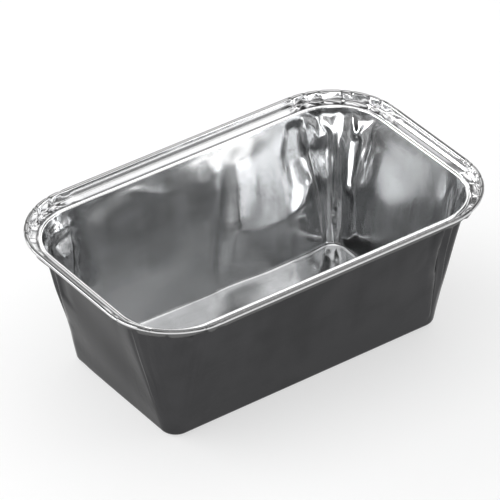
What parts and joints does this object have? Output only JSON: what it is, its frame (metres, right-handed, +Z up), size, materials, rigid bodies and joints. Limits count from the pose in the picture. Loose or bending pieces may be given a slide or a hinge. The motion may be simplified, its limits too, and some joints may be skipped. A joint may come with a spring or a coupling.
{
  "type": "foil tray",
  "caption": "Rectangular pressed foil loaf tray with leaning walls, pleated corners, a stepped flange that takes a lid, and a rolled edge.",
  "frame": {"origin": "middle of the underside of the floor", "axes": "+X along the long way, +Y along the short way, +Z up out of the mouth"},
  "size_m": [0.155, 0.0974, 0.0572],
  "materials": {
    "foil": "bright rolled foil, creased at the corners"
  },
  "bodies": {
    "root": {"foil_tray": "foil"}
  },
  "joints": []
}
